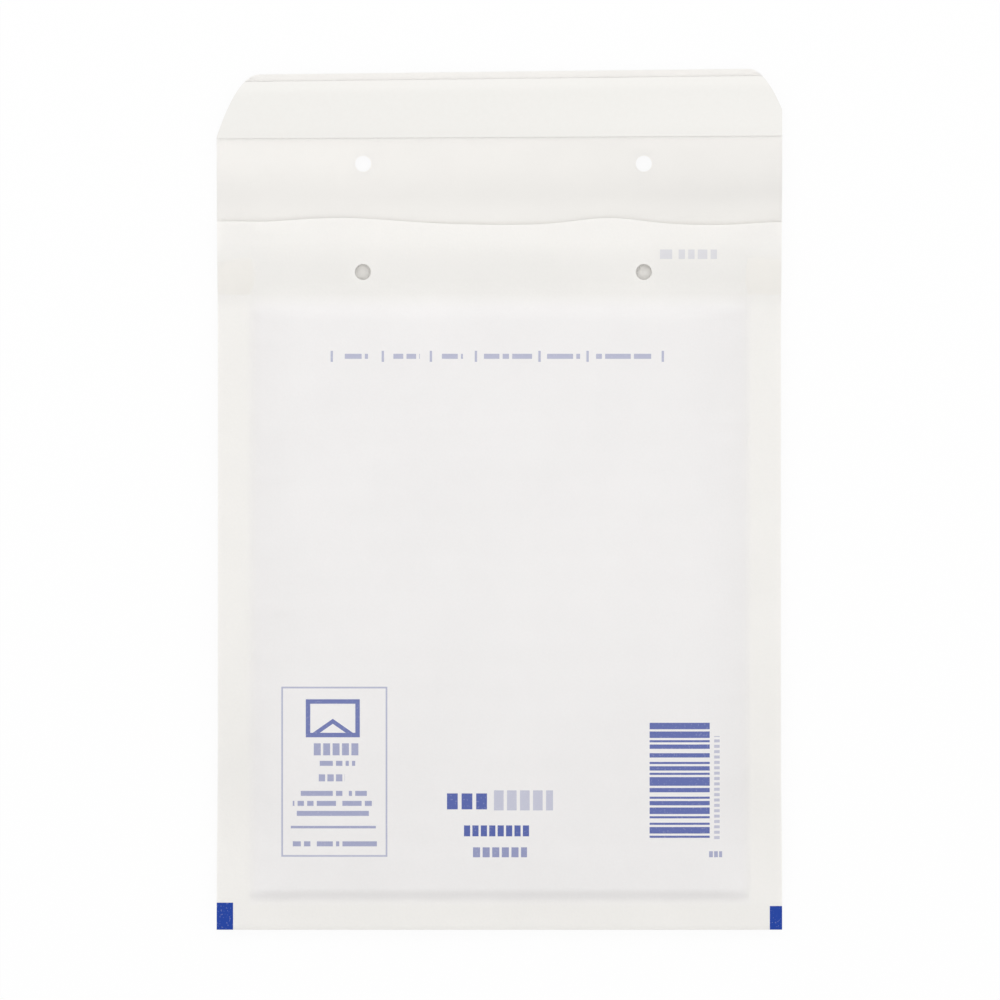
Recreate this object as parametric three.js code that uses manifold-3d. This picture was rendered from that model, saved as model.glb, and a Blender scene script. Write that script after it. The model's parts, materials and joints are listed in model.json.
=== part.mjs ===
// A padded mailing envelope in white kraft paper, lined with bubble film and lying on its back panel
// with the flap open. Millimetres, +Z up, +Y from the bottom fold to the flap, +X across.
// The origin is the middle of its outline, on the surface that it lies on.
import * as THREE from 'three';
import { mergeVertices } from 'three/addons/utils/BufferGeometryUtils.js';
import Module from 'manifold-3d';

const wasm = await Module();
wasm.setup();

// Outline of the made-up envelope
const outerWidth = 170;
const bodyLength = 214; // bottom fold to flap crease
const flapLength = 44; // flap crease to free edge
const sideSeam = 10; // glued strip down each side
const bottomHem = 11; // glued strip above the bottom fold
const mouthSetback = 1.3; // the front panel stops this far short of the crease

// Thickness of what it is made of
const paperThickness = 0.3;
const filmThickness = 0.2;
const bubbleHeight = 2;
const pocketGap = 4.5; // room between the two films in the middle of the pocket
const laminateClearance = 0.3; // between the film's bubbles and the paper

// How the empty envelope lies
const seamLift = 2.9; // under side of the side seams, above the ground
const flapLift = 1.9; // under side of the flap, above the ground
const flapRise = 16; // the flap climbs to its lift over this length after the crease
const backRun = 12; // width of the back panel's slope beside the seams
const sideRun = 18; // width of the front panel's round shoulder beside the seams
const hemRun = 30; // length of the front panel's round shoulder above the hem
const filmStep = 1.5; // the front panel comes down this much past the end of the film behind it
const stepRun = 8; // length of that step
const lipLength = 10; // the lip turns down over this length before the mouth edge
const lipFall = 2.6;

// Bubble film pocket
const linerSetback = 27; // the films stop this far below the mouth edge
const linerInset = 3; // from the seams and the hem to the edge of the film
const filmWeld = 4; // the two films are welded together along their sides and bottom
const bubbleDiameter = 10;
const bubbleTopDiameter = 8;
const bubbleSpacing = 12.6; // middle to middle, in staggered rows
const bubbleSides = 6;
const squashShare = 0.4; // of the room between the panels, the most that one film's bubbles take

// Punched holes for paper fasteners, and the punched flap corners
const holeDiameter = 4.8;
const holeSides = 24;
const holeSpacing = 84.4;
const holeFromCrease = 16.3;
const punchShift = 1.2; // the punch stands this far to the right of the middle
const cornerWidth = 11;
const cornerDepth = 15.3;
const cornerStartSlope = 0.12;
const cornerSteps = 16;

// Self-seal closure on the inner face of the flap
const adhesiveWidth = 12;
const adhesiveThickness = 0.15;
const releaseWidth = 17.5;
const releaseThickness = 0.12;
const releaseFromEdge = 2.2; // bare paper between the strip and the flap's free edge

// Places that follow from these sizes
const halfWidth = outerWidth / 2;
const innerHalfWidth = halfWidth - sideSeam;
const bottomEdge = -(bodyLength + flapLength) / 2;
const crease = bottomEdge + bodyLength;
const flapEdge = crease + flapLength;
const hemLine = bottomEdge + bottomHem;
const mouthEdge = crease - mouthSetback;
const lipCrest = mouthEdge - lipLength;
const linerEdge = mouthEdge - linerSetback;
const filmWall = filmThickness + bubbleHeight;
const fullHeight = 2 * (paperThickness + laminateClearance + filmWall) + pocketGap;
const seamTop = seamLift + 2 * paperThickness;
const seamMiddle = seamLift + paperThickness;
const glueSlit = 0.1; // the pocket's inside ends this high at the glued seams
const beyond = 10; // cutting tools reach this far past what they cut
const bubbleRoot = 1; // a bubble is made this much too deep, then trimmed flush with its film

const materials = {
  paper: new THREE.MeshStandardMaterial({ color: 0xf0eeec, roughness: 0.85, metalness: 0 }),
  film: new THREE.MeshStandardMaterial({ color: 0xe4e8ea, roughness: 0.25, metalness: 0 }),
  adhesive: new THREE.MeshStandardMaterial({ color: 0xe9e2cf, roughness: 0.4, metalness: 0 }),
  release: new THREE.MeshStandardMaterial({ color: 0xf4f3ee, roughness: 0.35, metalness: 0 }),
};

// A closed three.js geometry as a solid that can be joined and cut
function solidOf(geometry) {
  const bare = geometry.clone();
  bare.deleteAttribute('normal');
  bare.deleteAttribute('uv');
  const merged = mergeVertices(bare, 1e-5);
  const vertProperties = Float32Array.from(merged.attributes.position.array);
  const triVerts = Uint32Array.from(merged.index.array);
  return new wasm.Manifold(new wasm.Mesh({ numProp: 3, vertProperties, triVerts }));
}

// A joined or cut solid as a named mesh
function meshOf(name, solid, material) {
  const cut = solid.getMesh();
  const geometry = new THREE.BufferGeometry();
  geometry.setAttribute('position', new THREE.BufferAttribute(cut.vertProperties, 3));
  geometry.setIndex(new THREE.BufferAttribute(cut.triVerts, 1));
  geometry.computeVertexNormals();
  const mesh = new THREE.Mesh(geometry, material);
  mesh.name = name;
  return mesh;
}

// A block over a grid of lines, with its under side and its top each following a height rule
function layer(xLines, yLines, underSide, topSide) {
  const columns = xLines.length - 1;
  const rows = yLines.length - 1;
  const geometry = new THREE.BoxGeometry(columns, rows, 1, columns, rows, 1);
  const position = geometry.attributes.position;
  for (let i = 0; i < position.count; i += 1) {
    const x = xLines[Math.round(position.getX(i) + columns / 2)];
    const y = yLines[Math.round(position.getY(i) + rows / 2)];
    const height = position.getZ(i) > 0 ? topSide : underSide;
    position.setXYZ(i, x, y, height(x, y));
  }
  return solidOf(geometry);
}

// Evenly spaced lines from one place to another, both ends included
function linesBetween(from, to, steps) {
  return Array.from({ length: steps + 1 }, (_, i) => THREE.MathUtils.lerp(from, to, i / steps));
}

// Lists of lines put in order, with near repeats dropped
function mergeLines(...lists) {
  const sorted = lists.flat().sort((a, b) => a - b);
  return sorted.filter((line, i) => i === 0 || line - sorted[i - 1] > 1e-3);
}

// Share of the full height that a panel has reached at a distance inside its glued edge
function roundShoulder(distance, run) {
  return Math.sin(THREE.MathUtils.clamp(distance / run, 0, 1) * Math.PI / 2);
}

function straightSlope(distance, run) {
  return THREE.MathUtils.clamp(distance / run, 0, 1);
}

// Shares reached across and along the envelope as one share, smaller than both and full in the corners
function cornerShare(across, along) {
  if (across <= 0 || along <= 0) {
    return 0;
  }
  return 1 / Math.sqrt(across ** -2 + along ** -2 - 1);
}

// Height of the front panel's middle line, from the hem to the mouth
function crownHeight(y) {
  const step = filmStep * THREE.MathUtils.smoothstep(y, linerEdge, linerEdge + stepRun);
  const fall = lipFall * straightSlope(y - lipCrest, lipLength) ** 2;
  return fullHeight - step - fall;
}

function frontOutside(x, y) {
  const across = roundShoulder(innerHalfWidth - Math.abs(x), sideRun);
  const along = roundShoulder(y - hemLine, hemRun);
  return seamTop + (crownHeight(y) - seamTop) * cornerShare(across, along);
}

// The back panel lies flat, slopes up to the seams and the hem, and runs on as the flap
function backOutside(x, y) {
  const across = straightSlope(innerHalfWidth - Math.abs(x), backRun);
  const along = straightSlope(y - hemLine, backRun);
  const onBody = seamLift * (1 - cornerShare(across, along));
  const ontoFlap = THREE.MathUtils.smoothstep(y, crease, crease + flapRise);
  return THREE.MathUtils.lerp(onBody, flapLift, ontoFlap);
}

function frontInside(x, y) {
  return frontOutside(x, y) - paperThickness;
}

function backInside(x, y) {
  return backOutside(x, y) + paperThickness;
}

const slopeLines = mergeLines(
  linesBetween(innerHalfWidth - sideRun, innerHalfWidth, 5),
  [innerHalfWidth - backRun],
);
const pocketLinesX = mergeLines(slopeLines.map((x) => -x), [0], slopeLines);
const sheetLinesX = mergeLines([-halfWidth], pocketLinesX, [halfWidth]);
const pocketLinesY = mergeLines(
  linesBetween(hemLine, hemLine + hemRun, 5),
  [hemLine + backRun],
  linesBetween(linerEdge, linerEdge + stepRun, 5),
  linesBetween(lipCrest, mouthEdge, 5),
);
const flapLinesY = mergeLines(
  [mouthEdge],
  linesBetween(crease, crease + flapRise, 6),
  [flapEdge],
);

// Solid of a circle punched straight down, between two heights
function punch(x, y, from, to) {
  const pin = new THREE.CylinderGeometry(holeDiameter / 2, holeDiameter / 2, to - from, holeSides);
  pin.rotateX(Math.PI / 2);
  pin.translate(x, y, (from + to) / 2);
  return solidOf(pin);
}

// What the punch takes off one corner of the flap. Side is -1 for the left one and 1 for the right one.
function cornerWaste(side) {
  const startX = halfWidth - cornerWidth;
  const reach = cornerWidth + Math.abs(punchShift) + beyond;
  const bend = (cornerDepth / cornerWidth - cornerStartSlope) / cornerWidth;
  const depthAt = (run) => cornerStartSlope * run + bend * run * run;
  const outline = new THREE.Shape();
  outline.moveTo(startX - beyond, flapEdge + beyond);
  outline.lineTo(startX, flapEdge + beyond);
  outline.lineTo(startX, flapEdge);
  outline.quadraticCurveTo(
    startX + reach / 2,
    flapEdge - cornerStartSlope * reach / 2,
    startX + reach,
    flapEdge - depthAt(reach),
  );
  outline.lineTo(startX + reach, flapEdge + 2 * beyond);
  outline.lineTo(startX - beyond, flapEdge + 2 * beyond);
  const waste = new THREE.ExtrudeGeometry(outline, {
    depth: fullHeight + 2 * beyond,
    bevelEnabled: false,
    curveSegments: cornerSteps,
  });
  waste.translate(0, 0, -beyond);
  let solid = solidOf(waste);
  if (side < 0) {
    solid = solid.mirror([1, 0, 0]);
  }
  return solid.translate([punchShift, 0, 0]);
}

// One sheet, folded at the bottom and at the crease and glued to itself at the hem and the sides
function paperEnvelope() {
  const sheetLinesY = mergeLines([bottomEdge], pocketLinesY, flapLinesY);
  const folded = layer(sheetLinesX, sheetLinesY, backOutside, frontOutside);
  const pocket = layer(
    pocketLinesX,
    mergeLines(pocketLinesY, flapLinesY),
    (x, y) => Math.min(backInside(x, y), seamMiddle - glueSlit / 2),
    (x, y) => Math.max(frontInside(x, y), seamMiddle + glueSlit / 2),
  );
  const overFlap = layer(
    mergeLines([-halfWidth - beyond], sheetLinesX, [halfWidth + beyond]),
    mergeLines(flapLinesY, [flapEdge + beyond]),
    backInside,
    () => fullHeight + beyond,
  );
  let sheet = folded.subtract(pocket).subtract(overFlap);
  for (const side of [-1, 1]) {
    const holeX = punchShift + side * holeSpacing / 2;
    const throughFlap = punch(holeX, crease + holeFromCrease, -beyond, fullHeight);
    const throughFront = punch(holeX, crease - holeFromCrease, seamMiddle, fullHeight + beyond);
    sheet = sheet.subtract(throughFlap).subtract(throughFront).subtract(cornerWaste(side));
  }
  return sheet;
}

// The film pocket fills the space inside the paper, apart from its clearance
function filmOutsideTop(x, y) {
  return frontInside(x, y) - laminateClearance;
}

function filmOutsideUnder(x, y) {
  return backInside(x, y) + laminateClearance;
}

// The bubbles are squashed where the panels come together
function filmWallAt(x, y) {
  const room = filmOutsideTop(x, y) - filmOutsideUnder(x, y);
  return Math.min(filmWall, squashShare * room);
}

function filmInsideTop(x, y) {
  return filmOutsideTop(x, y) - filmWallAt(x, y);
}

function filmInsideUnder(x, y) {
  return filmOutsideUnder(x, y) + filmWallAt(x, y);
}

// One sealed bubble: a low drum whose root is inside its film and whose crown presses on the paper.
// Upwards is 1 for a bubble of the front film and -1 for one of the back film.
function bubble(middleX, middleY, upwards, root, crown) {
  const drum = new THREE.CylinderGeometry(1, 1, 1, bubbleSides);
  drum.rotateX(Math.PI / 2);
  const position = drum.attributes.position;
  for (let i = 0; i < position.count; i += 1) {
    const onCrown = position.getZ(i) * upwards > 0;
    const radius = (onCrown ? bubbleTopDiameter : bubbleDiameter) / 2;
    const x = middleX + position.getX(i) * radius;
    const y = middleY + position.getY(i) * radius;
    position.setXYZ(i, x, y, onCrown ? crown(x, y) : root(x, y));
  }
  return solidOf(drum);
}

// Middles of staggered rows of bubbles that fit between a half width and two ends
function bubbleMiddles(halfWidthFree, fromY, toY) {
  const rowSpacing = bubbleSpacing * Math.sin(Math.PI / 3);
  const rows = Math.floor((toY - fromY) / rowSpacing) + 1;
  const firstY = (fromY + toY - (rows - 1) * rowSpacing) / 2;
  const middles = [];
  for (let row = 0; row < rows; row += 1) {
    const stagger = row % 2 === 0 ? 0 : 0.5;
    const last = Math.floor(halfWidthFree / bubbleSpacing - stagger) + stagger;
    for (let column = -last; column <= last; column += 1) {
      middles.push([column * bubbleSpacing, firstY + row * rowSpacing]);
    }
  }
  return middles;
}

// Two films welded along their sides and bottom, with their bubbles on the outside
function bubbleLiner() {
  const linerHalfWidth = innerHalfWidth - linerInset;
  const linerBottom = hemLine + linerInset;
  const weldHalfWidth = linerHalfWidth - filmWeld;
  const weldBottom = linerBottom + filmWeld;
  const insideX = (half) => mergeLines([-half], pocketLinesX.filter((x) => Math.abs(x) < half), [half]);
  const insideY = (from) => mergeLines([from], pocketLinesY.filter((y) => y > from && y < linerEdge));
  const films = layer(
    insideX(linerHalfWidth),
    mergeLines(insideY(linerBottom), [linerEdge]),
    (x, y) => filmInsideUnder(x, y) - filmThickness,
    (x, y) => filmInsideTop(x, y) + filmThickness,
  );
  const pocket = layer(
    insideX(weldHalfWidth),
    mergeLines(insideY(weldBottom), [linerEdge, linerEdge + beyond]),
    filmInsideUnder,
    filmInsideTop,
  );
  const radius = bubbleDiameter / 2;
  const middles = bubbleMiddles(weldHalfWidth - radius, weldBottom + radius, linerEdge - radius);
  const bubbles = middles.flatMap(([x, y]) => [
    bubble(x, y, 1, (u, v) => filmInsideTop(u, v) - bubbleRoot, filmOutsideTop),
    bubble(x, y, -1, (u, v) => filmInsideUnder(u, v) + bubbleRoot, filmOutsideUnder),
  ]);
  return wasm.Manifold.union([films, ...bubbles]).subtract(pocket);
}

// A strip across the whole flap, trimmed to the flap's corners
function flapStrip(fromY, width, fromZ, thickness) {
  const strip = new THREE.BoxGeometry(outerWidth, width, thickness);
  strip.translate(0, fromY + width / 2, fromZ + thickness / 2);
  return solidOf(strip).subtract(cornerWaste(-1)).subtract(cornerWaste(1));
}

const flapFace = flapLift + paperThickness;
const releaseY = flapEdge - releaseFromEdge - releaseWidth;
const adhesiveY = releaseY + (releaseWidth - adhesiveWidth) / 2;

const envelope = new THREE.Group();
envelope.add(meshOf('paper_envelope', paperEnvelope(), materials.paper));
envelope.add(meshOf('bubble_liner', bubbleLiner(), materials.film));
envelope.add(meshOf(
  'adhesive_strip',
  flapStrip(adhesiveY, adhesiveWidth, flapFace, adhesiveThickness),
  materials.adhesive,
));
envelope.add(meshOf(
  'release_liner',
  flapStrip(releaseY, releaseWidth, flapFace + adhesiveThickness, releaseThickness),
  materials.release,
));

export default envelope;
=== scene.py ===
import json
import math
import random

import bpy
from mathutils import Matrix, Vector, noise

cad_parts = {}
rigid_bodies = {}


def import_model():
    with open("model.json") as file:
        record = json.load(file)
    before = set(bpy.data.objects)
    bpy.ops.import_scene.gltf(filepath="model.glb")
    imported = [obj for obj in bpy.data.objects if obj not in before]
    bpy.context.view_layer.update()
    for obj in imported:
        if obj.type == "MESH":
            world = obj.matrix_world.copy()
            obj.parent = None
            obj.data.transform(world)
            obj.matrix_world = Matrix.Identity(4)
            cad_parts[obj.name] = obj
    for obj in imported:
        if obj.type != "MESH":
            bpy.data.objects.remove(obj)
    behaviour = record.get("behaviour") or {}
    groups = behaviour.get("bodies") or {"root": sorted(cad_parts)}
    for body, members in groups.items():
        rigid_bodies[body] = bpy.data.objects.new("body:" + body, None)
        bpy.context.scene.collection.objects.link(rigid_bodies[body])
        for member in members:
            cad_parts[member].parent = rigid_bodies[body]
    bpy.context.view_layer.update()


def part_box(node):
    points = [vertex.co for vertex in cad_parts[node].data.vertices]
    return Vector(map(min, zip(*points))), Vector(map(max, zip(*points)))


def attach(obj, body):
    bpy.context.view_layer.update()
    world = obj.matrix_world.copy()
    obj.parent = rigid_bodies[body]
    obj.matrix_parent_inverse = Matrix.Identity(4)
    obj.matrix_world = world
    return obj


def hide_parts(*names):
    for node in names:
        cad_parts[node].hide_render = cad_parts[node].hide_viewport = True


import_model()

# Camera. It looks straight down on the front of the envelope, as the photo does, from so far away
# that the sides don't show.
MM = 0.001
PHOTO_PIXELS = 1000
MM_PER_PIXEL = 0.3005
MIDDLE_PIXEL = (499.4, 500.65)  # column and row of the photo over the frame's origin
CAMERA_ABOVE_SHEET = 4.0
SHARPEST_HEIGHT = 0.005  # the photo's scale holds at this height, halfway up the envelope
SENSOR_WIDTH = 36.0


def photo_x(column):
    """Millimetres across the envelope for a column of the photo."""
    return (column - MIDDLE_PIXEL[0]) * MM_PER_PIXEL


def photo_y(row):
    """Millimetres along the envelope for a row of the photo."""
    return (MIDDLE_PIXEL[1] - row) * MM_PER_PIXEL


camera_data = bpy.data.cameras.new("camera")
camera_data.sensor_width = SENSOR_WIDTH
camera_data.lens = SENSOR_WIDTH * CAMERA_ABOVE_SHEET / (PHOTO_PIXELS * MM_PER_PIXEL * MM)
camera_data.clip_end = 20
camera = bpy.data.objects.new("camera", camera_data)
camera.location = (
    photo_x(PHOTO_PIXELS / 2) * MM,
    photo_y(PHOTO_PIXELS / 2) * MM,
    CAMERA_ABOVE_SHEET + SHARPEST_HEIGHT,
)
bpy.context.scene.collection.objects.link(camera)
bpy.context.scene.camera = camera
bpy.context.scene.view_settings.view_transform = "Standard"

# The paper sheet. One sheet of white kraft paper, folded up at the bottom and glued to itself in a
# hem and down both sides, with the flap as the end of its back half. It is laid out as a grid from the
# mouth edge of the front, round the bottom fold and up the back to the flap's free edge, in millimetres.
sheet_low, sheet_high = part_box("paper_envelope")
HALF_WIDTH = sheet_high[0] / MM
BOTTOM_EDGE = sheet_low[1] / MM
FLAP_EDGE = sheet_high[1] / MM
FULL_HEIGHT = sheet_high[2] / MM
FLAP_LENGTH = 44.0
MOUTH_BELOW_CREASE = 1.3
UNLINED_LENGTH = 27.0
LIP_LENGTH = 10.0
SEAM_WIDTH = 10.0
HEM_WIDTH = 9.0
CREASE = FLAP_EDGE - FLAP_LENGTH
MOUTH_EDGE = CREASE - MOUTH_BELOW_CREASE
INNER_HALF = HALF_WIDTH - SEAM_WIDTH
HEM_LINE = BOTTOM_EDGE + HEM_WIDTH
FILM_EDGE = MOUTH_EDGE - UNLINED_LENGTH
LIP_CREST = MOUTH_EDGE - LIP_LENGTH
PAPER = 0.26
SEAM_LIFT = 2.9
SEAM_TOP = SEAM_LIFT + 0.6
SEAM_WANDER = 0.9
FLAP_LIFT = 2.5
MOUTH_LIFT = 2.5
LINED_LIFT = 3.6  # the back springs up by this much right past the film
STEP_DOWN = 4.5  # the front comes down by this much past the film
STEP_START = 2.0
STEP_END = 8.5
LIP_SAG = 0.2
LIP_FALL = 1.9
FLAP_RISE = 16.0
FLAP_CORNER_LIFT = 1.5
SIDE_RUN = 18.0
SIDE_STEEPNESS = 0.05
HEM_RUN = 30.0
HEM_STEEPNESS = 0.2
STEEP_RUN = 3.2
BACK_RUN = 12.0
WAIST = 0.35
OUT_OF_SQUARE = 1.0
BUBBLE_SPACING = 12.6
BUBBLE_RELIEF = 0.13


def smooth(value, low, high):
    """0 at low and 1 at high, with a soft start and end."""
    part = min(1.0, max(0.0, (value - low) / (high - low)))
    return part * part * (3 - 2 * part)


def ripple(x, y, size, seed):
    """Slow random waves of about this size, from -1 to 1."""
    return noise.noise(Vector((x / size, y / size, seed)))


def shoulder(distance, run, steep):
    """Share of its full height that a panel has reached at a distance inside its glued edge."""
    round_share = math.sin(min(1.0, max(0.0, distance / run)) * math.pi / 2)
    return (1 - steep) * round_share + steep * smooth(distance, 0, STEEP_RUN)


def corner_share(across, along):
    """Two shares as one, smaller than both and full in the corners."""
    if across <= 0 or along <= 0:
        return 0.0
    return 1 / math.sqrt(across ** -2 + along ** -2 - 1)


def crown(y):
    """Height of the front panel's middle line: down a step where the film ends, then down the lip."""
    step = STEP_DOWN * smooth(y, FILM_EDGE - STEP_START, FILM_EDGE + STEP_END)
    sag = LIP_SAG * smooth(y, FILM_EDGE + 8, LIP_CREST)
    along_lip = min(1.0, max(0.0, (y - LIP_CREST) / LIP_LENGTH))
    return FULL_HEIGHT - step - sag - LIP_FALL * along_lip ** 2


def bubble_relief(x, y, first_row):
    """The faint dimples that the bubbles behind give the paper, from -0.5 between them to 1 on them."""
    wave = 2 * math.pi / BUBBLE_SPACING
    slant = (y - first_row) / math.sqrt(3)
    total = math.cos(wave * (x - slant)) + math.cos(wave * (x + slant)) + math.cos(wave * 2 * slant)
    return total / 3


luck = random.Random(5)
PUCKER_PEAK = 3.5  # a pucker stands highest this far inside its glued edge
PUCKER_REACH = 28.0


def gathers(start, end, spacing):
    """Small puckers along a glued edge: place, half width and height of each."""
    row = []
    place = start
    while place < end:
        row.append((place, luck.uniform(1.5, 3.6), luck.uniform(-0.15, 0.42)))
        place += spacing * luck.uniform(0.4, 1.6)
    return row


def gathered(row, place, distance):
    """Height of the puckers at a place along the edge and a distance inside it."""
    if distance <= 0 or distance > PUCKER_REACH:
        return 0.0
    fade = distance / PUCKER_PEAK * math.exp(1 - distance / PUCKER_PEAK)
    return fade * sum(high * math.exp(-(((place - at) / wide) ** 2)) for at, wide, high in row)


front_gathers = {
    -1: gathers(HEM_LINE, MOUTH_EDGE, 11),
    1: gathers(HEM_LINE, MOUTH_EDGE, 11),
    0: gathers(-INNER_HALF, INNER_HALF, 12),
}
back_gathers = {-1: gathers(HEM_LINE, CREASE, 13), 1: gathers(HEM_LINE, CREASE, 13)}


def seam_height(x, y):
    """Under side of the glued seams and the hem, which wander a little up and down."""
    outside = max(abs(x) - INNER_HALF, HEM_LINE - y, 0) / SEAM_WIDTH
    return SEAM_LIFT + outside * SEAM_WANDER * ripple(x, y, 34, 2.0)


def front_height(x, y):
    """Outer face of the front panel."""
    inside = INNER_HALF - abs(x)
    above_hem = y - HEM_LINE
    from_side = shoulder(inside, SIDE_RUN, SIDE_STEEPNESS)
    share = corner_share(from_side, shoulder(above_hem, HEM_RUN, HEM_STEEPNESS))
    seam = seam_height(x, y) + SEAM_TOP - SEAM_LIFT
    height = seam + (crown(y) - SEAM_TOP) * share
    height += gathered(front_gathers[-1 if x < 0 else 1], y, inside) * smooth(above_hem, 0, 6)
    height += gathered(front_gathers[0], x, above_hem) * smooth(inside, 0, 6)
    lined = smooth(FILM_EDGE - y, 0, 8) * smooth(inside, 4, 14) * smooth(above_hem, 4, 16)
    height += BUBBLE_RELIEF * lined * bubble_relief(x, y, HEM_LINE)
    return height + share * (0.25 * ripple(x, y, 55, 7.0) + 0.1 * ripple(x, y, 13, 9.0))


def back_height(x, y):
    """Outer face of the back panel, and past the crease of the flap."""
    inside = INNER_HALF - abs(x)
    across = min(1.0, max(0.0, inside / BACK_RUN))
    along = min(1.0, max(0.0, (y - HEM_LINE) / BACK_RUN))
    height = seam_height(x, min(y, CREASE)) * (1 - corner_share(across, along))
    height += 0.6 * abs(gathered(back_gathers[-1 if x < 0 else 1], y, inside)) * smooth(CREASE - y, 0, 9)
    mouth_share = smooth(y, FILM_EDGE, FILM_EDGE + 11)
    climbed = min(1.0, max(0.0, (y - CREASE) / FLAP_RISE))
    climbed = 1 - (1 - climbed) ** 2
    settled = smooth(y, FILM_EDGE + 9, CREASE)
    lift = LINED_LIFT + (MOUTH_LIFT - LINED_LIFT) * settled + (FLAP_LIFT - MOUTH_LIFT) * climbed
    lift += FLAP_CORNER_LIFT * climbed * smooth(x, -10, 75) * smooth(FLAP_EDGE - y, 4, 40)
    lift += climbed * (0.5 * ripple(x, y, 60, 4.0) - 0.5 * smooth(y, FLAP_EDGE - 6, FLAP_EDGE))
    return max(0.0, height) * (1 - mouth_share) + lift * mouth_share


def settle(x, y, z):
    """A point of the sheet as it lies: waisted by its filling, its free edges out of square, in metres."""
    waist = WAIST * smooth(y, BOTTOM_EDGE, HEM_LINE + 50) * smooth(CREASE + 20 - y, 0, 60)
    out_of_square = OUT_OF_SQUARE * x / HALF_WIDTH * smooth(y, CREASE + 8, FLAP_EDGE)
    return Vector((x * (1 - waist / HALF_WIDTH), y + out_of_square, z)) * MM


MOUTH_HUMPS = ((-48.0, 24.0), (33.0, 14.0))  # middle and half width of each
MOUTH_HUMP_HEIGHT = 2.1
MOUTH_HOLLOW = 0.8


def mouth_wave(x):
    """How far the front panel's cut edge wanders along the envelope, in two humps."""
    humps = sum(math.exp(-(((x - middle) / half) ** 2)) for middle, half in MOUTH_HUMPS)
    return MOUTH_HUMP_HEIGHT * (humps + 0.4 * smooth(abs(x), 66, 84)) - MOUTH_HOLLOW


def spread(start, end, step):
    """Evenly spaced values from start up to but not including end, no further apart than step."""
    count = max(1, math.ceil(abs(end - start) / step))
    return [start + (end - start) * i / count for i in range(count)]


columns = (
    spread(-HALF_WIDTH, -INNER_HALF, 1.25)
    + spread(-INNER_HALF, -INNER_HALF + SIDE_RUN, 1.0)
    + spread(-INNER_HALF + SIDE_RUN, INNER_HALF - SIDE_RUN, 1.5)
    + spread(INNER_HALF - SIDE_RUN, INNER_HALF, 1.0)
    + spread(INNER_HALF, HALF_WIDTH, 1.25)
    + [HALF_WIDTH]
)
fold_radius = (SEAM_TOP - SEAM_LIFT) / 2
fold_y = BOTTOM_EDGE + fold_radius
front_rows = (
    spread(MOUTH_EDGE, LIP_CREST, 1.0)
    + spread(LIP_CREST, FILM_EDGE - 4, 1.2)
    + spread(FILM_EDGE - 4, HEM_LINE + HEM_RUN, 1.5)
    + spread(HEM_LINE + HEM_RUN, HEM_LINE + 5, 1.2)
    + spread(HEM_LINE + 5, HEM_LINE, 0.7)
    + spread(HEM_LINE, fold_y, 1.4)
)
FOLD_STEPS = 8
back_rows = (
    spread(fold_y, HEM_LINE, 1.4)
    + spread(HEM_LINE, HEM_LINE + BACK_RUN, 1.2)
    + spread(HEM_LINE + BACK_RUN, MOUTH_EDGE, 1.6)
    + spread(MOUTH_EDGE, CREASE, 0.7)
    + spread(CREASE, CREASE + FLAP_RISE, 1.0)
    + spread(CREASE + FLAP_RISE, FLAP_EDGE - 6, 1.5)
    + spread(FLAP_EDGE - 6, FLAP_EDGE, 1.0)
    + [FLAP_EDGE]
)


def sheet_point(x, row):
    """Place of a point of the folded sheet, on its outer face, for a column's x and a row's number."""
    if row < len(front_rows):
        y = front_rows[row]
        return settle(x, y + mouth_wave(x) * smooth(y, LIP_CREST, MOUTH_EDGE), front_height(x, y))
    row -= len(front_rows)
    if row < FOLD_STEPS - 1:
        turn = math.pi * (row + 1) / FOLD_STEPS
        middle = seam_height(x, fold_y) + fold_radius
        return settle(x, fold_y - fold_radius * math.sin(turn), middle + fold_radius * math.cos(turn))
    y = back_rows[row - FOLD_STEPS + 1]
    return settle(x, y, back_height(x, y))


def deselect_all():
    for each in bpy.context.scene.objects:
        each.select_set(False)


def choose(piece):
    """Selects one piece alone and makes it the active one."""
    deselect_all()
    piece.select_set(True)
    bpy.context.view_layer.objects.active = piece


def apply_modifier(piece, kind, **settings):
    """Adds a modifier to a piece, sets it and applies it."""
    modifier = piece.modifiers.new(kind.title(), kind)
    for name, value in settings.items():
        setattr(modifier, name, value)
    choose(piece)
    bpy.ops.object.modifier_apply(modifier=modifier.name)


def grid_piece(name, xs, row_count, point):
    """A sheet of len(xs) by row_count points. The rule point gives each one's place in metres."""
    deselect_all()
    bpy.ops.mesh.primitive_grid_add(x_subdivisions=len(xs) - 1, y_subdivisions=row_count - 1, size=2)
    piece = bpy.context.object
    piece.name = name
    for vertex in piece.data.vertices:
        column = round((vertex.co.x + 1) / 2 * (len(xs) - 1))
        row = round((1 - vertex.co.y) / 2 * (row_count - 1))
        vertex.co = point(xs[column], row)
    return piece


paper = grid_piece("paper_sheet", columns, len(front_rows) + FOLD_STEPS - 1 + len(back_rows), sheet_point)
outer_points = len(paper.data.vertices)
apply_modifier(paper, "SOLIDIFY", thickness=PAPER * MM, offset=-1)
inner_face = paper.data.attributes.new("inner_face", "FLOAT", "POINT")
for index, mark in enumerate(inner_face.data):
    mark.value = float(index >= outer_points)

# The punch. It takes two holes through the flap, two through the front panel alone, and a rounded
# corner off each end of the flap. It stands a little to the right of the middle.
HOLE_RADIUS = 2.4
HOLE_SPACING = 84.4
HOLE_FROM_CREASE = 16.3
THROUGH_FLAP = (-8.0, 8.0)  # lowest and highest point of the punch
THROUGH_FRONT = (4.6, 20.0)
HOLE_SIDES = 40
PUNCH_SHIFT = 1.2
CORNER_WIDTH = 11.0
CORNER_DEPTH = 15.3
CORNER_START_SLOPE = 0.12
CORNER_STEPS = 24
CORNER_REACH = CORNER_WIDTH + 8

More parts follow.
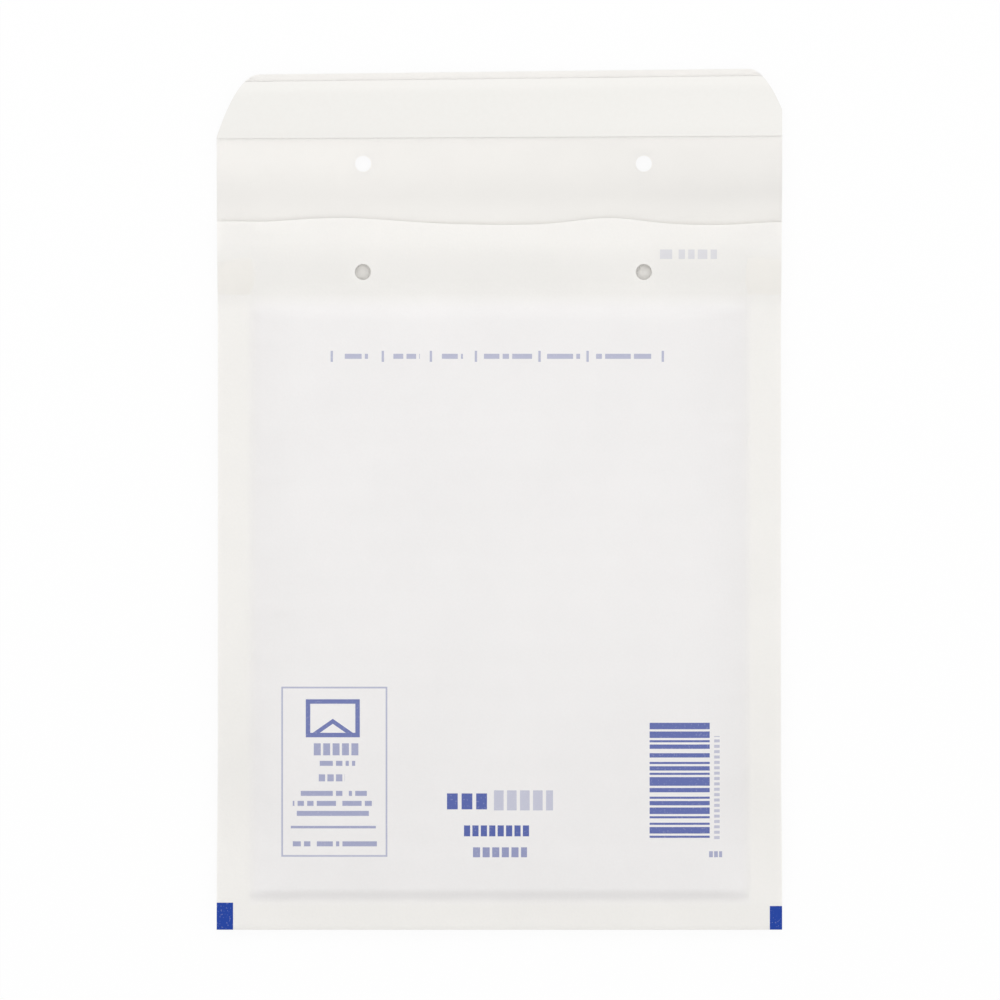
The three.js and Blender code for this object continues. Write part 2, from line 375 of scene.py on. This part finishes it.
holes = []
for side in (-1, 1):
    for from_crease, (low, high) in ((HOLE_FROM_CREASE, THROUGH_FLAP), (-HOLE_FROM_CREASE, THROUGH_FRONT)):
        deselect_all()
        bpy.ops.mesh.primitive_cylinder_add(
            vertices=HOLE_SIDES,
            radius=HOLE_RADIUS * MM,
            depth=(high - low) * MM,
            location=(
                (PUNCH_SHIFT + side * HOLE_SPACING / 2) * MM,
                (CREASE + from_crease) * MM,
                (low + high) / 2 * MM,
            ),
        )
        holes.append(bpy.context.object)

corners = []
corner_bend = (CORNER_DEPTH / CORNER_WIDTH - CORNER_START_SLOPE) / CORNER_WIDTH
for side in (-1, 1):
    start_x = HALF_WIDTH - CORNER_WIDTH
    start_y = FLAP_EDGE + side * 0.9
    cut = [(start_x - 2, start_y + 8), (start_x - 2, start_y + 0.3)]
    for step in range(CORNER_STEPS + 1):
        run = CORNER_REACH * step / CORNER_STEPS
        cut.append((start_x + run, start_y - CORNER_START_SLOPE * run - corner_bend * run * run))
    cut.append((start_x + CORNER_REACH, start_y + 8))
    outline = bpy.data.meshes.new("corner_punch")
    points = [((PUNCH_SHIFT + side * x) * MM, y * MM, -8 * MM) for x, y in cut]
    outline.from_pydata(points, [], [tuple(range(len(points)))])
    corner = bpy.data.objects.new("corner_punch", outline)
    bpy.context.scene.collection.objects.link(corner)
    choose(corner)
    bpy.ops.object.mode_set(mode="EDIT")
    bpy.ops.mesh.select_all(action="SELECT")
    bpy.ops.mesh.extrude_region_move(TRANSFORM_OT_translate={"value": (0, 0, 20 * MM)})
    bpy.ops.mesh.select_all(action="SELECT")
    bpy.ops.mesh.normals_make_consistent(inside=False)
    bpy.ops.object.mode_set(mode="OBJECT")
    corners.append(corner)


def punch(piece, tools):
    for tool in tools:
        apply_modifier(piece, "BOOLEAN", operation="DIFFERENCE", object=tool, solver="EXACT")


punch(paper, holes + corners)
choose(paper)
bpy.ops.object.shade_smooth_by_angle(angle=math.radians(40))
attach(paper, "root")
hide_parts("paper_envelope")


# The paper's finish and print. The paper is a shade whiter where film or a second ply lies behind it,
# and also on the front's lip, where that whiter tone is a painted highlight.
# One blue ink prints all that is on the front: rows of small broken bars, a framed label, a code of
# plain bars and the two square marks at the bottom corners.
class Field:
    """A socket of a material's node tree. Sums on it are written as Python and add Math nodes."""

    def __init__(self, tree, socket=None):
        self.tree = tree
        self.socket = socket

    def node(self, kind, settings=None, inputs=None, output=0):
        """Adds a node, sets it, then gives its sockets their values or links. Gives one of its outputs."""
        made = self.tree.nodes.new(kind)
        for name, value in (settings or {}).items():
            setattr(made, name, value)
        for key, value in (inputs or {}).items():
            if isinstance(value, Field):
                self.tree.links.new(value.socket, made.inputs[key])
            else:
                made.inputs[key].default_value = value
        return Field(self.tree, made.outputs[output])

    def math(self, operation, *others, clamp=False):
        settings = {"operation": operation, "use_clamp": clamp}
        return self.node("ShaderNodeMath", settings, dict(enumerate((self, *others))))

    def __add__(self, other):
        return self.math("ADD", other)

    __radd__ = __add__

    def __mul__(self, other):
        return self.math("MULTIPLY", other)

    __rmul__ = __mul__

    def __sub__(self, other):
        return self.math("SUBTRACT", other)

    def __rsub__(self, other):
        return (self * -1) + other

    def __gt__(self, other):
        return self.math("GREATER_THAN", other)

    def __lt__(self, other):
        return self.math("LESS_THAN", other)

    def between(self, low, high):
        """1 from low to high and 0 elsewhere."""
        return self.math("COMPARE", (low + high) / 2, abs(high - low) / 2)

    def climb(self, low, high):
        """0 at low, 1 at high, straight between them."""
        return ((self - low) * (1 / (high - low))).math("ADD", 0, clamp=True)

    def either(self, other):
        return self.math("MAXIMUM", other)

    def mix(self, start, end):
        """The colour start where this is 0 and end where it is 1."""
        colours = {6: start, 7: end}
        inputs = {0: self}
        for key, value in colours.items():
            inputs[key] = value if isinstance(value, Field) else (*value, 1)
        return self.node("ShaderNodeMix", {"data_type": "RGBA"}, inputs, output=2)

    def feed(self, shader, name):
        self.tree.links.new(self.socket, shader.inputs[name])


def linear(red, green, blue):
    """A colour read from a picture, as the linear light that a shader takes."""
    shares = [c / 255 for c in (red, green, blue)]
    return tuple(c / 12.92 if c <= 0.04045 else ((c + 0.055) / 1.055) ** 2.4 for c in shares)


def finish(name, **values):
    """A new material with these even values on its shader. Gives it, its shader and an empty field."""
    material = bpy.data.materials.new(name)
    material.use_nodes = True
    shader = material.node_tree.nodes["Principled BSDF"]
    for key, value in values.items():
        shader.inputs[key.replace("_", " ")].default_value = value
    return material, shader, Field(material.node_tree)


def dress(piece, material):
    """Gives a piece this one material."""
    piece.data.materials.clear()
    piece.data.materials.append(material)


def part_of(vector, axis):
    """One coordinate of a vector."""
    return vector.node("ShaderNodeSeparateXYZ", None, {0: vector}, axis)


FLAP_TONE = linear(250.9, 249.7, 248.2)
BARE_TONE = linear(248.2, 246.5, 243.2)
TWO_PLIES = linear(253.2, 251.4, 248)
OVER_FILM = linear(253.5, 251.6, 250.9)
INK = linear(22, 62, 156)
INTO_OUTER_FACE = 0.17  # shares of the light that go through the sheet's outer and its inner face
INTO_INNER_FACE = 0.6

paper_material, shader, field = finish("white_kraft", Roughness=0.6, Specular_IOR_Level=0.25)
vector = field.node("ShaderNodeTexCoord", output="Object")
x, y, z = [part_of(vector, axis) * (1 / MM) for axis in "XYZ"]
up = part_of(field.node("ShaderNodeNewGeometry", output="Normal"), "Z")
inner = field.node("ShaderNodeAttribute", {"attribute_name": "inner_face"}, output="Fac")
on_front = (up > 0.3) * (inner < 0.5)


def box(left, right, top, bottom):
    """A rectangle given by columns and rows of the photo."""
    return x.between(photo_x(left), photo_x(right)) * y.between(photo_y(top), photo_y(bottom))


def blocks(left, pitch):
    """Even blocks with gaps from a column of the photo on. Pitch is the width of one with its gap."""
    return ((x - photo_x(left)) * (1 / (pitch * MM_PER_PIXEL))).math("FRACT") < 0.74


def joined(masks):
    """1 where any of these is."""
    total = masks[0]
    for mask in masks[1:]:
        total = total.either(mask)
    return total


def in_columns(*spans):
    """Shapes given by their first and last columns of the photo."""
    return joined([x.between(photo_x(left), photo_x(right)) for left, right in spans])


# Small print is drawn as bars that are broken here and there by a gap, so that nothing can be read in it
CELL_WIDTH = 3.2  # in pixels of the photo, as is all of the print
CELL_HEIGHT = 10
CELL_ROW = 9.2
BROKEN_SHARE = 0.17
across = (x * (1 / (CELL_WIDTH * MM_PER_PIXEL))).math("FLOOR")
upward = ((y - photo_y(CELL_ROW)) * (1 / (CELL_HEIGHT * MM_PER_PIXEL))).math("FLOOR")
cell = field.node("ShaderNodeCombineXYZ", None, {0: across, 1: upward})
small = field.node("ShaderNodeTexWhiteNoise", None, {"Vector": cell}) > BROKEN_SHARE

# A row of short bars with an upright line between each two, under the punched holes
ROW_BARS = ((345, 371), (393.5, 420), (442, 463), (484, 532), (547, 580), (596, 651))
ROW_BAR_TOP = 354
ROW_BAR_BOTTOM = 359
ROW_LINES = (332, 383, 431, 476, 539.5, 587.5, 662.6)
ROW_LINE_TOP = 351
ROW_LINE_BOTTOM = 362
ROW_LINE_HALF = 1.2
row_bars = in_columns(*ROW_BARS) * y.between(photo_y(ROW_BAR_TOP), photo_y(ROW_BAR_BOTTOM)) * small
line_spans = [(line - ROW_LINE_HALF, line + ROW_LINE_HALF) for line in ROW_LINES]
row_lines = in_columns(*line_spans) * y.between(photo_y(ROW_LINE_TOP), photo_y(ROW_LINE_BOTTOM))

# A framed label at the lower left: a closed letter drawn in outline, and rows of small bars. Each place
# is given as first and last column, then top and bottom row.
FRAME_OUTSIDE = (281.5, 387.5, 686.5, 856.5)
FRAME_INSIDE = (283.2, 385.8, 688.2, 854.8)
LETTER_OUTSIDE = (306, 360, 699, 737)
LETTER_INSIDE = (310.5, 355.5, 703.5, 732.5)
FLAP_TIP = (333, 721)
FLAP_SLOPE = 0.7
FLAP_LINE_HALF = 0.75
LABEL_BARS = (
    (320, 356, 760.5, 765.5),
    (301, 367, 790.5, 795.5),
    (293, 372, 800.5, 805.5),
    (297, 369, 810.5, 815.5),
    (293, 377, 841, 846),
)
LABEL_TITLE = (314, 361, 743, 755)
LABEL_LINE = (291, 376, 825.5, 828)
LABEL_CODE = (319, 345, 774, 781)
frame_line = box(*FRAME_OUTSIDE) * (1 - box(*FRAME_INSIDE))
letter_box = box(*LETTER_OUTSIDE)
letter_line = letter_box * (1 - box(*LETTER_INSIDE))
from_tip = (x - photo_x(FLAP_TIP[0])).math("ABSOLUTE") * FLAP_SLOPE + y - photo_y(FLAP_TIP[1])
letter_sign = letter_line.either(from_tip.between(-FLAP_LINE_HALF, FLAP_LINE_HALF) * letter_box)
label_title = box(*LABEL_TITLE) * blocks(LABEL_TITLE[0], 9.4)
label_bars = joined([joined([box(*place) for place in LABEL_BARS]) * small, label_title, box(*LABEL_LINE)])
label_code = box(*LABEL_CODE) * blocks(LABEL_CODE[0], 8.6)

# A group below the middle: strong and pale blocks side by side over two rows of smaller ones
STRONG_BLOCKS = (447, 490.5, 793, 809)
PALE_BLOCKS = (494, 553, 790, 810)
MIDDLE_BLOCKS = (464, 531, 825, 836)
LOWER_BLOCKS = (473, 527, 847, 857)
strong_blocks = box(*STRONG_BLOCKS) * blocks(STRONG_BLOCKS[0], 14.6)
middle_blocks = box(*MIDDLE_BLOCKS) * blocks(MIDDLE_BLOCKS[0], 8.4)
lower_blocks = box(*LOWER_BLOCKS) * blocks(LOWER_BLOCKS[0], 9.6)
pale_blocks = box(*PALE_BLOCKS) * blocks(PALE_BLOCKS[0], 13)

# A code of plain bars, in widths that stand for nothing, with a row of ticks beside it
CODE_TOP = 722.5
CODE_COLUMNS = (649.4, 709.5)
BAR_STEP = 2.17
BAR_WIDTHS = (3, 1, 3, 1, 1, 1, 2, 2, 2, 2, 1, 1, 2, 1, 1, 1, 4)
BAR_WIDTHS += (1, 2, 2, 1, 1, 2, 1, 3, 1, 1, 2, 1, 1, 3, 1, 1)
TICKS = (714, 719.5, 736, 840)
LAST_TICKS = (709, 722, 851, 857)
bars = []
bar_top = CODE_TOP
for index, width in enumerate(BAR_WIDTHS):
    if index % 2 == 0:
        bars.append(y.between(photo_y(bar_top), photo_y(bar_top + width * BAR_STEP)))
    bar_top += width * BAR_STEP
code = joined(bars) * in_columns(CODE_COLUMNS)
ticks = box(*TICKS) * ((y * 0.62).math("FRACT") < 0.55)
last_ticks = box(*LAST_TICKS) * blocks(LAST_TICKS[0], 5)

# A pale row near the mouth, and the square marks that run over the bottom corners of the sheet
PALE_ROW = (660, 717, 249.5, 259)
LEFT_MARK_END = 233
LEFT_MARK_TOP = 902.8
RIGHT_MARK_START = 769.9
RIGHT_MARK_TOP = 906.2
pale_row = box(*PALE_ROW) * small
left_mark = x.between(-HALF_WIDTH - 1, photo_x(LEFT_MARK_END)) * y.between(
    BOTTOM_EDGE - 1, photo_y(LEFT_MARK_TOP)
)
right_mark = x.between(photo_x(RIGHT_MARK_START), HALF_WIDTH + 1) * y.between(
    BOTTOM_EDGE - 1, photo_y(RIGHT_MARK_TOP)
)
corner_marks = left_mark.either(right_mark) * (z > SEAM_LIFT - 0.3)

# Each kind of print with its strength
printed = [
    strong_blocks * 0.91,
    middle_blocks * 0.91,
    code * 0.88,
    letter_sign * 0.84,
    label_bars * 0.62,
    label_code * 0.6,
    lower_blocks * 0.7,
    row_bars * 0.5,
    row_lines * 0.5,
    pale_blocks * 0.4,
    ticks * 0.42,
    last_ticks * 0.6,
    frame_line * 0.5,
    pale_row * 0.2,
]
ink = corner_marks.either(joined(printed) * on_front)

clouds = field.node("ShaderNodeTexNoise", None, {"Vector": vector, "Scale": 45.0, "Detail": 2.0})
fibres = field.node("ShaderNodeTexNoise", None, {"Vector": vector, "Scale": 1500.0, "Detail": 2.0})
along_web = field.node("ShaderNodeMapping", None, {"Vector": vector, "Scale": (2400.0, 300.0, 900.0)})
web = field.node("ShaderNodeTexNoise", None, {"Vector": along_web, "Scale": 1.0, "Detail": 1.0})

body = (y < CREASE - 1).either(on_front)
on_hem = y.climb(HEM_LINE + 1, HEM_LINE - 2)
beside = x.math("ABSOLUTE").climb(INNER_HALF - 2, INNER_HALF + 1).either(on_hem)
film_behind = (1 - y.climb(FILM_EDGE + 1, FILM_EDGE + 5.5)) * body
# Painted highlight: the front's lip, which faces the lamp, gets the whiter two-ply tone, though no film or
# second ply lies behind it
lip = y.climb(LIP_CREST - 3, LIP_CREST + 4) * on_front
single = body.mix(FLAP_TONE, BARE_TONE)
white = (film_behind * (1 - beside)).mix((film_behind.either(lip) * body).mix(single, TWO_PLIES), OVER_FILM)

# Painted shade on the paper: darker in the lower part of the front and on the hem, where less light falls,
# in the groove along the hem's crease, across the foot of the flap and where the flap's right side bends up
# away from the lamp
# Painted shade: darker towards the bottom of the front and on the hem, for the light that falls off there
painted_falloff_shade = (y.climb(-35, -92) - y.climb(-89, -104) * 0.9) * 0.031 + on_hem * 0.018
from_line = (y - HEM_LINE - 1.5).math("ABSOLUTE")
# Painted shade in the groove along the hem's crease
painted_crease_shade = (1 - (from_line * 0.45).climb(0, 1)) * (x.math("ABSOLUTE") < INNER_HALF)
# Painted shade across the foot of the flap, where it rises from the crease away from the lamp
painted_flap_foot_shade = (1 - ((y - 91.5).math("ABSOLUTE") * 0.1).climb(0, 1)) * 0.055
on_flap = y.climb(CREASE + 3, CREASE + 8) - y.climb(105, 112)
# Painted shade where the flap's right side bends up away from the lamp
painted_bend_shade = (x * 0.4 + y).climb(85, 125) * on_flap * 0.045
# The paper's own random tone and fibres, less the painted shade above
shade = 0.955 + clouds * 0.045 + fibres * 0.045 - painted_falloff_shade - painted_crease_shade * 0.05 - painted_flap_foot_shade - painted_bend_shade
paper_tone_and_painted_shade = field.node("ShaderNodeVectorMath", {"operation": "SCALE"}, {0: white, "Scale": shade})
(ink * (0.9 + (fibres > 0.37) * 0.1)).mix(paper_tone_and_painted_shade, INK).feed(shader, "Base Color")
grain = fibres * 0.6 + web * 0.4
bump_inputs = {"Strength": 0.25, "Distance": 0.00012, "Height": grain}
field.node("ShaderNodeBump", None, bump_inputs).feed(shader, "Normal")
lit = Field(field.tree, shader.outputs[0])
through = field.node("ShaderNodeBsdfTranslucent", None, {"Color": (1.0, 0.995, 0.985, 1)})
passed = (1 - ink) * (inner * (INTO_INNER_FACE - INTO_OUTER_FACE) + INTO_OUTER_FACE)
shown = field.node("ShaderNodeMixShader", None, {0: passed, 1: lit, 2: through})
shown.feed(field.tree.nodes["Material Output"], "Surface")
dress(paper, paper_material)

# The film pocket. Two clear films, folded at the bottom and welded down both sides, stand off the
# paper on rows of sealed air bubbles that are blown from the outer ply. The pocket's smooth side is inside.
FILM = 0.12
FILM_HALF = INNER_HALF - 3.0
FILM_BOTTOM = HEM_LINE + 3.0
WELD = 4.0
WELD_HALF = FILM_HALF - WELD
WELD_LINE = FILM_BOTTOM + WELD
WALL = 2.2
SQUASH_SHARE = 0.4
CLEARANCE = 0.3
FILM_WANDER = 0.8
BUBBLE_RADIUS = 5.0
BUBBLE_SIDES = 12


def pocket_heights(x, y):
    """Outer limits of the two films with their bubbles, and how thick each wall is there."""
    over = front_height(x, y) - PAPER - CLEARANCE
    under = back_height(x, y) + PAPER + CLEARANCE
    return over, under, min(WALL, SQUASH_SHARE * (over - under))


def film_height(x, y, front):
    """Height of the smooth face of the front or the back film."""
    over, under, wall = pocket_heights(x, y)
    middle = (over + under) / 2
    open_share = min(smooth(WELD_HALF - abs(x), -1, 2.5), smooth(y - WELD_LINE, -1, 2.5))
    if front:
        return middle + FILM / 2 + 0.02 + (over - wall - middle - FILM / 2) * open_share
    return middle - FILM / 2 - 0.02 - (middle - under - wall - FILM / 2) * open_share


film_columns = (
    spread(-FILM_HALF, -WELD_HALF + 3, 1.0)
    + spread(-WELD_HALF + 3, WELD_HALF - 3, 2.4)
    + spread(WELD_HALF - 3, FILM_HALF, 1.0)
    + [FILM_HALF]
)
film_rows = spread(FILM_EDGE, WELD_LINE + 3, 2.4) + spread(WELD_LINE + 3, FILM_BOTTOM, 1.0)
film_row_count = 2 * len(film_rows) + 1


def film_point(x, row):
    """Place of a point of the film, from its front edge at the mouth round the bottom to its back edge."""
    if row == len(film_rows):
        over, under, wall = pocket_heights(x, FILM_BOTTOM)
        return settle(x, FILM_BOTTOM - 0.1, (over + under) / 2)
    front = row < len(film_rows)
    y = film_rows[row if front else 2 * len(film_rows) - row]
    wander = FILM_WANDER * ripple(x, 0, 22, 11.0 if front else 13.0)
    return settle(x, y + wander * smooth(y, FILM_EDGE - 12, FILM_EDGE), film_height(x, y, front))


film = grid_piece("film_pocket", film_columns, film_row_count, film_point)
apply_modifier(film, "SOLIDIFY", thickness=FILM * MM, offset=0)

# One bubble: a low dome with a rounded shoulder, its foot closed by the film. Each ring rises by a share
# of the height and draws in.
BUBBLE_RINGS = ((0.5, 0.97), (0.3, 0.91), (0.2, 0.74))
deselect_all()
bpy.ops.mesh.primitive_circle_add(vertices=BUBBLE_SIDES, radius=1, fill_type="NGON")
bubble = bpy.context.object
bpy.ops.object.mode_set(mode="EDIT")
bpy.ops.mesh.select_all(action="SELECT")
for rise, narrowing in BUBBLE_RINGS:
    bpy.ops.mesh.extrude_region_move(TRANSFORM_OT_translate={"value": (0, 0, rise)})
    bpy.ops.transform.resize(value=(narrowing, narrowing, 1))
bpy.ops.mesh.select_all(action="SELECT")
bpy.ops.mesh.normals_make_consistent(inside=False)
bpy.ops.object.mode_set(mode="OBJECT")

row_spacing = BUBBLE_SPACING * math.sin(math.pi / 3)
first_fit = WELD_LINE + BUBBLE_RADIUS
last_fit = FILM_EDGE - BUBBLE_RADIUS
row_total = math.floor((last_fit - first_fit) / row_spacing) + 1
first_y = (first_fit + last_fit - (row_total - 1) * row_spacing) / 2
blown = []
for row in range(row_total):
    stagger = 0.5 * (row % 2)
    place = -math.floor((WELD_HALF - BUBBLE_RADIUS) / BUBBLE_SPACING - stagger) - stagger
    while place * BUBBLE_SPACING <= WELD_HALF - BUBBLE_RADIUS:
        blown.append((place * BUBBLE_SPACING, first_y + row * row_spacing))
        place += 1
copies = []
for front in (True, False):
    for middle_x, middle_y in blown:
        one = bubble.copy()
        one.data = bubble.data.copy()
        bpy.context.scene.collection.objects.link(one)
        if not front:
            one.data.flip_normals()
        for vertex in one.data.vertices:
            px = middle_x + vertex.co.x * BUBBLE_RADIUS
            py = middle_y + vertex.co.y * BUBBLE_RADIUS
            over, under, wall = pocket_heights(px, py)
            foot = film_height(px, py, front)
            crown_z = over if front else under
            vertex.co = settle(px, py, foot + (crown_z - foot) * vertex.co.z)
        copies.append(one)
bpy.data.objects.remove(bubble)
choose(film)
for one in copies:
    one.select_set(True)
bpy.ops.object.join()
bpy.ops.object.shade_smooth_by_angle(angle=math.radians(50))
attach(film, "root")
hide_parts("bubble_liner")

film_material, shader, field = finish(
    "clear_film",
    Base_Color=(0.86, 0.88, 0.9, 1),
    IOR=1.5,
    Alpha=0.5,
    Specular_IOR_Level=0.5,
)
vector = field.node("ShaderNodeTexCoord", output="Object")
crinkle = field.node("ShaderNodeTexNoise", None, {"Vector": vector, "Scale": 260.0, "Detail": 3.0})
(0.2 + crinkle * 0.14).feed(shader, "Roughness")
bump_inputs = {"Strength": 0.3, "Distance": 0.0003, "Height": crinkle}
field.node("ShaderNodeBump", None, bump_inputs).feed(shader, "Normal")
dress(film, film_material)

# The adhesive line. A band of soft hot-melt glue, coated across the inner face of the flap and still
# covered by its strip, so only its cut ends and its edge show.
glue_low, glue_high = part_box("adhesive_strip")
GLUE_FROM = glue_low[1] / MM
GLUE_TO = glue_high[1] / MM
GLUE = 0.09


def across_flap(first_y, last_y, step, lift):
    """Rows of a strip on the flap's inner face, and the rule for its points. Lift is above the face."""
    ys = spread(first_y, last_y, step) + [last_y]

    def point(x, row):
        y = ys[row]
        return settle(x, y, back_height(x, y) + PAPER + lift(x, y))

    return ys, point


flap_columns = spread(-HALF_WIDTH, HALF_WIDTH, 2.0) + [HALF_WIDTH]
ys, point = across_flap(GLUE_TO, GLUE_FROM, 1.2, lambda x, y: 0.02 + GLUE)
glue = grid_piece("adhesive_line", flap_columns, len(ys), point)
apply_modifier(glue, "SOLIDIFY", thickness=GLUE * MM, offset=-1)
punch(glue, corners)
choose(glue)
bpy.ops.object.shade_smooth_by_angle(angle=math.radians(40))
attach(glue, "root")
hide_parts("adhesive_strip")

glue_material, shader, field = finish(
    "hot_melt",
    Roughness=0.3,
    Specular_IOR_Level=0.5,
    Coat_Weight=0.2,
)
vector = field.node("ShaderNodeTexCoord", output="Object")
lines = field.node("ShaderNodeMapping", None, {"Vector": vector, "Scale": (60.0, 1500.0, 200.0)})
lines = field.node("ShaderNodeTexNoise", None, {"Vector": lines, "Scale": 1.0, "Detail": 2.0})
lines.mix((0.74, 0.69, 0.55), (0.83, 0.79, 0.68)).feed(shader, "Base Color")
bump_inputs = {"Strength": 0.4, "Distance": 0.0001, "Height": lines}
field.node("ShaderNodeBump", None, bump_inputs).feed(shader, "Normal")
dress(glue, glue_material)

# The cover strip. Smooth paper with a silicone face, wider than the glue it covers. It is peeled off
# when the envelope is closed. Past the glue both its edges come down to the flap.
strip_low, strip_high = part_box("release_liner")
STRIP_FROM = strip_low[1] / MM
STRIP_TO = strip_high[1] / MM
STRIP = 0.07
EDGE_RUN = 2.6


def strip_lift(x, y):
    """Height of the strip's upper face above the flap."""
    past_glue = max(smooth(GLUE_FROM - y, 0, EDGE_RUN), smooth(y - GLUE_TO, 0, EDGE_RUN))
    return 0.04 + STRIP + GLUE * (1 - past_glue * (0.85 + 0.15 * ripple(x, 0, 30, 21.0)))


ys, point = across_flap(STRIP_TO, STRIP_FROM, 0.8, strip_lift)
strip = grid_piece("cover_strip", flap_columns, len(ys), point)
apply_modifier(strip, "SOLIDIFY", thickness=STRIP * MM, offset=-1)
punch(strip, corners)
for tool in holes + corners:
    bpy.data.objects.remove(tool)
choose(strip)
bpy.ops.object.shade_smooth_by_angle(angle=math.radians(40))
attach(strip, "root")
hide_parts("release_liner")

strip_material, shader, field = finish(
    "silicone_paper",
    Specular_IOR_Level=0.5,
    Coat_Weight=0.25,
    Coat_Roughness=0.25,
)
vector = field.node("ShaderNodeTexCoord", output="Object")
cloth = field.node("ShaderNodeTexNoise", None, {"Vector": vector, "Scale": 900.0, "Detail": 3.0})
cloth.mix(linear(233.8, 232.2, 228), linear(237.4, 235.8, 232)).feed(shader, "Base Color")
(0.3 + cloth * 0.12).feed(shader, "Roughness")
bump_inputs = {"Strength": 0.12, "Distance": 0.0001, "Height": cloth}
field.node("ShaderNodeBump", None, bump_inputs).feed(shader, "Normal")
dress(strip, strip_material)

# The floor, a plain white sheet that runs out of the picture and keeps a soft shadow.
FLOOR_HALF = 4.0
FLOOR_GLOW = 0.93
deselect_all()
bpy.ops.mesh.primitive_plane_add(size=2 * FLOOR_HALF, location=(0, 0, -0.05 * MM))
floor = bpy.context.object
floor.name = "floor"
floor_material, shader, field = finish(
    "floor_white",
    Base_Color=(0.92, 0.92, 0.92, 1),
    Roughness=0.9,
    Specular_IOR_Level=0.1,
)


def seen_by(field):
    """1 where the camera looks, also by way of a gloss or through something clear."""
    rays = ("Is Camera Ray", "Is Glossy Ray", "Is Transmission Ray")
    return joined([field.node("ShaderNodeLightPath", output=name) for name in rays])


glow = field.node("ShaderNodeEmission", None, {"Color": (1, 1, 1, 1), "Strength": 1.0})
lit = Field(field.tree, shader.outputs[0])
shown = field.node("ShaderNodeMixShader", None, {0: seen_by(field) * FLOOR_GLOW, 1: lit, 2: glow})
shown.feed(field.tree.nodes["Material Output"], "Surface")
dress(floor, floor_material)

# The light. An even white room gives most of it, and one large soft lamp beyond the flap the rest.
ROOM = 0.88
LAMP_SIZE = 0.9
LAMP_PLACE = (-0.03, 0.6, 0.85)
LAMP_POWER = 2.3
room = bpy.data.worlds.new("room")
room.use_nodes = True
bpy.context.scene.world = room
field = Field(room.node_tree)
room_light = room.node_tree.nodes["Background"]
room_light.inputs["Color"].default_value = (1, 1, 1, 1)
room_light.inputs["Strength"].default_value = ROOM
backdrop = field.node("ShaderNodeBackground", None, {"Color": (1, 1, 1, 1), "Strength": 1.0})
room_lit = Field(field.tree, room_light.outputs[0])
shown = field.node("ShaderNodeMixShader", None, {0: seen_by(field), 1: room_lit, 2: backdrop})
shown.feed(room.node_tree.nodes["World Output"], "Surface")

lamp_data = bpy.data.lights.new("soft_lamp", "AREA")
lamp_data.size = LAMP_SIZE
lamp_data.energy = LAMP_POWER
lamp = bpy.data.objects.new("soft_lamp", lamp_data)
lamp.location = LAMP_PLACE
lamp.rotation_euler = (-Vector(LAMP_PLACE)).to_track_quat("-Z", "Y").to_euler()
bpy.context.scene.collection.objects.link(lamp)
